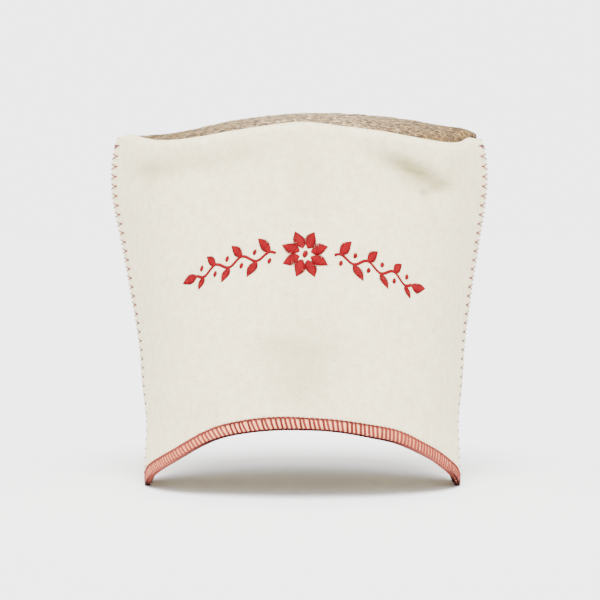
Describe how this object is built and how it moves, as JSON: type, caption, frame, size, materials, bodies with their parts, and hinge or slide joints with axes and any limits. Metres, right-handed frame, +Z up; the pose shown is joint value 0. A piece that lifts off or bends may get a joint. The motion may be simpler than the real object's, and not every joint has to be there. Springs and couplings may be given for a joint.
{
  "type": "cossack hat",
  "caption": "Soft felt cossack-style hat with flared walls, an arched hem with ear lobes, side seams and a domed top panel, open below for the head.",
  "frame": {"origin": "on the floor under the middle of the hat, as it stands on the two ear lobes of its hem", "axes": "+Z up through the crown, -Y out of the front panel, +X to the right as seen from the front"},
  "size_m": [0.2342, 0.183, 0.2317],
  "materials": {
    "white_felt": "matt off-white wool felt with a short fuzz",
    "grey_brown_felt": "matt coarse undyed wool felt with dark and light fibres",
    "red_thread": "lightly shiny polyester sewing thread"
  },
  "bodies": {
    "root": {"front_panel": "white_felt", "back_panel": "white_felt", "crown_panel": "grey_brown_felt"}
  },
  "joints": []
}
